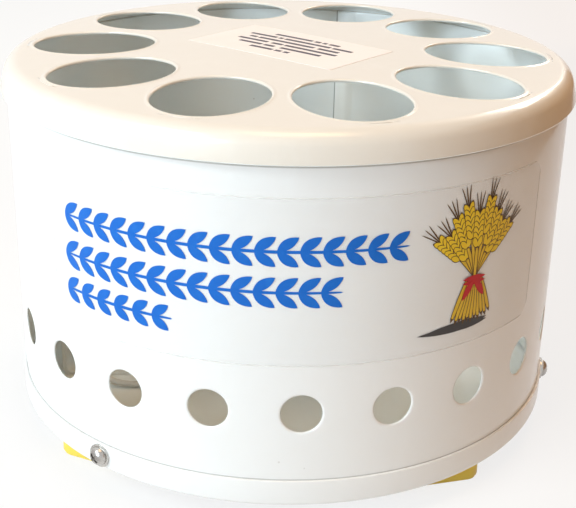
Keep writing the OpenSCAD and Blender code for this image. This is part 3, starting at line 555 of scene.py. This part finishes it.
for k, lean in enumerate(np.linspace(-1, 1, straws)):
    drawn(straw, k, sheaf_x - straw_spread * lean, sheaf_z + 1.2 * lean ** 2 - 0.6 * (k % 2),
          straw_turn * lean, straw_long, straw_wide, 0.0, stalk_full)
for k, lean in enumerate(np.linspace(-1, 1, stalks)):
    rank = 12 + 8 * (4 - abs(k - 4))
    tall, bend = 18 + 2.5 * np.cos(2.4 * k) - 4.5 * lean ** 2, stalk_bend * lean
    foot_x, foot_z = sheaf_x - stalk_spread * lean, sheaf_z + tie_up
    drawn(straw, rank, foot_x, foot_z, stalk_turn * lean, tall, stalk_wide, bend, stalk_full)
    t = np.radians(stalk_turn * lean)
    top_x = foot_x + tall * np.sin(t) + bend * tall * np.cos(t)
    top_z = foot_z + tall * np.cos(t) - bend * tall * np.sin(t)
    t = np.radians(ear_turn * lean)
    outline += [leaf(top_x + awn_start * np.sin(t), top_z + awn_start * np.cos(t),
                     ear_turn * lean + awn_turn * i, awn_long, awn_wide, awn_bend * i, 0.17, 11, 0.4)
                for i in (-1, 0, 1)]
    for row in range(ear_grains):
        up_ear = row * ear_pitch + ear_start
        for hand in (-1, 1):
            drawn(grain, rank + ear_grains - row, top_x + up_ear * np.sin(t),
                  top_z + up_ear * np.cos(t), ear_turn * lean + grain_turn * hand,
                  grain_long, grain_wide, grain_bend * hand)
tie = [leaf(sheaf_x - 5.2, sheaf_z + tie_up + 0.6 + 1.5 * i, 90, 10.4, 2.0, 0.02, 0.40 + 0.04 * i)
       for i in (0, 1)]
tie += [leaf(sheaf_x, sheaf_z + tie_up + 1.2, turn, 8, 2.6, bend, lift)
        for turn, bend, lift in ((135, 0.15, 0.46), (225, -0.15, 0.48))]
ground = [leaf(sheaf_x - 22 + 5 * i, sheaf_z - 1.0 + 0.8 * (i % 2), 90, 30 - 5 * i, 2.6, 0.0,
               0.14 + 0.01 * i) for i in range(3)]
for name, shapes, colour, pale in (
        ("sheaf_ground", ground, (0.055, 0.05, 0.05), (0.10, 0.09, 0.085)),
        ("sheaf_outline", outline, (0.10, 0.05, 0.015), (0.16, 0.085, 0.03)),
        ("sheaf_straw", straw, (0.70, 0.46, 0.04), (0.80, 0.58, 0.09)),
        ("sheaf_grain", grain, (0.80, 0.55, 0.03), (0.86, 0.66, 0.09)),
        ("sheaf_tie", tie, (0.50, 0.02, 0.025), (0.62, 0.06, 0.05))):
    piece(name, shapes, "drum", "drum_paint", smooth=False, paint=ink(name, colour, pale))


# Top paper: a pinkish paper label, cut square and glued flat on the middle of the lid, with rows
# of plain dark bars printed on it.
paper_w, paper_d, paper_turn, paper_lift, paper_thick = 68.0, 39.0, -39.3, 0.02, 0.10
bar_rows, bar_top, bar_pitch, bar_high, bar_gap = (16, 25, 22, 24, 20, 11), 11.0, 4.3, 2.0, 0.5
bar_lift, bar_shortest, bar_cuts, bar_cut_reach = 0.14, 2.4, 3, 0.8


def sheet_on_crown(x0, x1, y0, y1, low, thick, n):
    """A thin closed sheet with cut edges, turned and laid low millimetres over the lid's crown:
    its rows run over the top and back along the underside."""
    cut = 0.08
    x, y = (np.concatenate(([a], np.linspace(a + cut, b - cut, n - 2), [b]))
            for a, b in ((x0, x1), (y0, y1)))
    inside = (np.arange(n) > 0) & (np.arange(n) < n - 1)
    lift = low + thick * np.concatenate((inside, 0 * inside))[None, :] * inside[:, None]
    x, y = x[:, None] + 0 * lift, np.concatenate((y, y[::-1]))[None, :] + 0 * lift
    t = np.radians(paper_turn)
    px, py = x * np.cos(t) - y * np.sin(t), x * np.sin(t) + y * np.cos(t)
    return np.stack((px, py, crown_height(np.hypot(px, py)) + lift), -1)


label_stock, here = bare_finish("label_stock")
fibre = here.noise(700.0, 4.0, 0.7)
stain = here.noise(32.0, 3.0, 0.6).step(0.35, 0.75) * 0.8
coat(label_stock, {"Base Color": stain.blend((0.88, 0.83, 0.825), (0.85, 0.785, 0.77)),
                   "Roughness": 0.5 + 0.2 * fibre, "Normal": fibre.relief(0.2, 0.0001)})
paper_grid = sheet_on_crown(-paper_w / 2, paper_w / 2, -paper_d / 2, paper_d / 2,
                            paper_lift, paper_thick, 25)
piece("top_paper", [paper_grid], "lid", "lid_paint", paint=label_stock, smooth=False)
bars = []
dice = np.random.default_rng(7)
for row, half in enumerate(bar_rows):
    y = bar_top - bar_pitch * row
    cuts = np.sort(dice.uniform(-half * bar_cut_reach, half * bar_cut_reach, bar_cuts))
    ends = np.concatenate(([-half], cuts, [half]))
    bars += [sheet_on_crown(a + bar_gap, b - bar_gap, y - bar_high / 2, y + bar_high / 2,
                            bar_lift, ink_thick, 5)
             for a, b in zip(ends[:-1], ends[1:]) if b - a > bar_shortest]
piece("paper_bars", bars, "lid", "lid_paint", smooth=False,
      paint=ink("dark_ink", (0.045, 0.03, 0.05), (0.11, 0.08, 0.11)))


# Base pan: a shallow pan drawn from one sheet and enamelled white. Its wall stands outside the
# drum wall, which is screwed to it, and its rim is rounded by the enamel.
pan_low, pan_sheet, pan_radii = 9.0, 0.8, np.array((0.0, 52.0, 98.0))
pan_corner, pan_corner_r, pan_rim_foot = (104.2, 10.8), 1.8, (105.2, 17.6)
pan_rim_outer, pan_rim_inner = (105.75, 18.75, 0.25), (105.15, 18.88, 0.12)
pan_line = np.concatenate((
    pairs(pan_radii, pan_low), bow(*pan_corner, pan_corner_r, -90, 0, 9),
    bow(*pan_rim_outer, 0, 90, 7), bow(*pan_rim_inner, 90, 180, 5), [pan_rim_foot],
    bow(*pan_corner, pan_corner_r - pan_sheet, 0, -90, 7),
    pairs(pan_radii[::-1], pan_low + pan_sheet)))
pan = piece("pan_enamelled", [turned(pan_line, np.linspace(0, 360, 289))],
            "drum", "pan_paint", "base_pan", merge=join_gap)
enamelled(pan, enamel("pan_enamel", outer_white, outer_shade), inner_lit_enamel,
          lambda normals, middles: (normals[:, 2] > 0.5) & (middles[:, 2] < 15))


# Screws, washers and nuts: bright zinc-plated steel, headed, stamped and threaded, with fine
# tool lines. They hold the drum in the pan, the feet, the bracket, the holder and the wiring.
def metal(name, colour, dark, rough, scratch=900.0):
    """Plated metal: a plate that is darker in clouds, with fine lines in its gloss and bump."""
    plate, here = bare_finish(name)
    cloud, lines = here.noise(140.0, 3.0, 0.6), here.noise(scratch, 2.0, 0.7)
    return coat(plate, {"Base Color": cloud.step(0.3, 0.8).blend(colour, dark),
                        "Roughness": rough + 0.18 * lines + 0.10 * cloud,
                        "Normal": lines.relief(0.12, 0.0001), "Metallic": 1.0})


def dress(material, edge, *names):
    """Gives CAD nodes a material, joins their loose triangles, rounds their sharp edges by edge
    metres and keeps the creases that are left."""
    for name in names:
        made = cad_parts[name]
        made.data.materials.clear()
        made.data.materials.append(material)
        made.data.polygons.foreach_set("use_smooth", np.ones(len(made.data.polygons), bool))
        made.modifiers.new("join", "WELD").merge_threshold = join_gap
        if edge:
            soft = made.modifiers.new("soft_edge", "BEVEL")
            soft.width, soft.segments, soft.limit_method = edge, 2, "ANGLE"
            soft.angle_limit = np.radians(32)
            soft.harden_normals = False
        made.modifiers.new("crease", "EDGE_SPLIT").split_angle = np.radians(34)


dress(metal("zinc_plate", (0.62, 0.60, 0.57), (0.30, 0.285, 0.27), 0.12), 0.0,
      "housing_screws", "housing_washers", "housing_nuts", "foot_screws", "foot_nuts",
      "bracket_screws", "bracket_nuts", "clamp_screws", "holder_screws", "holder_nuts",
      "terminal_screws", "block_screw", "block_nut", "earth_screw", "earth_nut")


# Feet: four blocks moulded in yellow plastic with rounded edges. Each is held by a screw that is
# sunk in it from below, with its nut on the pan's floor.
def moulded(name, colour, dark, rough, grain=500.0, depth=0.06, stripe=None):
    """Moulded plastic or rubber: slight colour drift, fine grain in bump and gloss, scuffs.
    Stripe is the colour of slanting stripes, as on an earth wire."""
    stuff, here = bare_finish(name)
    drift, fine = here.noise(45.0, 3.0, 0.6), here.noise(grain, 3.0, 0.6)
    scuff = here.noise(120.0, 5.0, 0.75).step(0.60, 0.78)
    tone = drift.step(0.25, 0.8).blend(colour, dark)
    if stripe:
        wave = here.node("TexWave", {"bands_direction": "DIAGONAL"},
                         {"Vector": here, "Scale": 60.0}, out="Fac")
        tone = wave.step(0.45, 0.55).blend(tone, stripe)
    return coat(stuff, {"Base Color": tone, "Roughness": rough + 0.12 * fine + 0.15 * scuff,
                        "Normal": (fine + 0.4 * scuff).relief(depth, 0.0004)})


dress(moulded("yellow_block", (0.86, 0.66, 0.085), (0.76, 0.55, 0.06), 0.38), 0.0005,
      "foot_front_right", "foot_front_left", "foot_back_right", "foot_back_left")


# Lamp bracket: one strip of sheet steel bent upright and plated with dull zinc. Two screws hold
# it on the pan's floor, and it carries the lamp holder.
dress(metal("bracket_plate", (0.90, 0.90, 0.88), (0.84, 0.84, 0.81), 0.72, 350.0), 0.0003,
      "lamp_bracket")


# Lamp holder: a body of glazed porcelain, screwed to the bracket. In it sit a sleeve rolled from
# brass sheet, a springy contact and two clamps. The wiring's tubes and earth tag are brass too.
def glazed(name, colour, dark):
    """Glaze over porcelain: faint pin marks, soft clouds and swells, a wet coat."""
    glaze, here = bare_finish(name)
    cloud = here.noise(70.0, 3.0, 0.55)
    pins = (1.0 - here.cells(260.0).step(0.03, 0.07)) * 0.5
    tone = cloud.step(0.3, 0.8).blend(colour, dark)
    return coat(glaze, {"Base Color": pins.blend(tone, (0.45, 0.40, 0.33)),
                        "Roughness": 0.12 + 0.1 * cloud, "Coat Weight": 0.5,
                        "Normal": here.noise(110.0, 2.0).relief(0.05, 0.0006)})


dress(glazed("porcelain_glaze", (0.86, 0.84, 0.79), (0.80, 0.77, 0.70)), 0.0004, "lamp_holder")
dress(metal("brass_sheet", (0.80, 0.58, 0.25), (0.58, 0.40, 0.16), 0.18), 0.0,
      "holder_sleeve", "holder_contact", "holder_clamps", "terminal_tubes", "earth_tag")


# Bulb: clear blown glass on a rolled cap that screws into the holder. A glass stem carries the
# wires and the coiled filament; black glass parts the cap from its soldered contact.
blown_glass, here = bare_finish("blown_glass")
streak = here.noise(40.0, 3.0)
coat(blown_glass, {"Base Color": streak.blend((0.96, 0.98, 0.98), (0.90, 0.93, 0.93)),
                   "Roughness": 0.01 + 0.04 * streak, "Transmission Weight": 1.0, "IOR": 1.46})
dress(blown_glass, 0.0, "bulb_glass", "bulb_stem")
dress(metal("cap_sheet", (0.80, 0.80, 0.78), (0.62, 0.62, 0.60), 0.20), 0.0,
      "bulb_cap", "bulb_leads")
dress(metal("solder", (0.60, 0.60, 0.60), (0.40, 0.40, 0.41), 0.42), 0.0, "bulb_contact")
dress(metal("tungsten", (0.22, 0.22, 0.23), (0.14, 0.14, 0.15), 0.45, 2500.0), 0.0,
      "bulb_filament")
dress(glazed("black_glass", (0.02, 0.02, 0.025), (0.035, 0.033, 0.035)), 0.0, "bulb_insulator")


# Wiring: a moulded terminal block screwed to the pan's floor, sleeved wires from it to the
# holder, a striped earth wire to the pan, and a rubber grommet in the hole for the cord.
dress(moulded("block_plastic", (0.80, 0.80, 0.77), (0.72, 0.71, 0.67), 0.42), 0.0002,
      "terminal_block")
dress(moulded("cream_sleeve", (0.62, 0.53, 0.38), (0.55, 0.46, 0.32), 0.5), 0.0, "live_wire")
dress(moulded("white_sleeve", (0.70, 0.69, 0.66), (0.63, 0.62, 0.58), 0.5), 0.0, "neutral_wire")
dress(moulded("green_yellow_sleeve", (0.10, 0.36, 0.06), (0.08, 0.30, 0.05), 0.42,
              stripe=(0.74, 0.62, 0.04)), 0.0, "earth_wire")
dress(moulded("inlet_rubber", (0.022, 0.022, 0.022), (0.04, 0.039, 0.037), 0.55, 700.0, 0.12),
      0.0002, "cord_grommet")
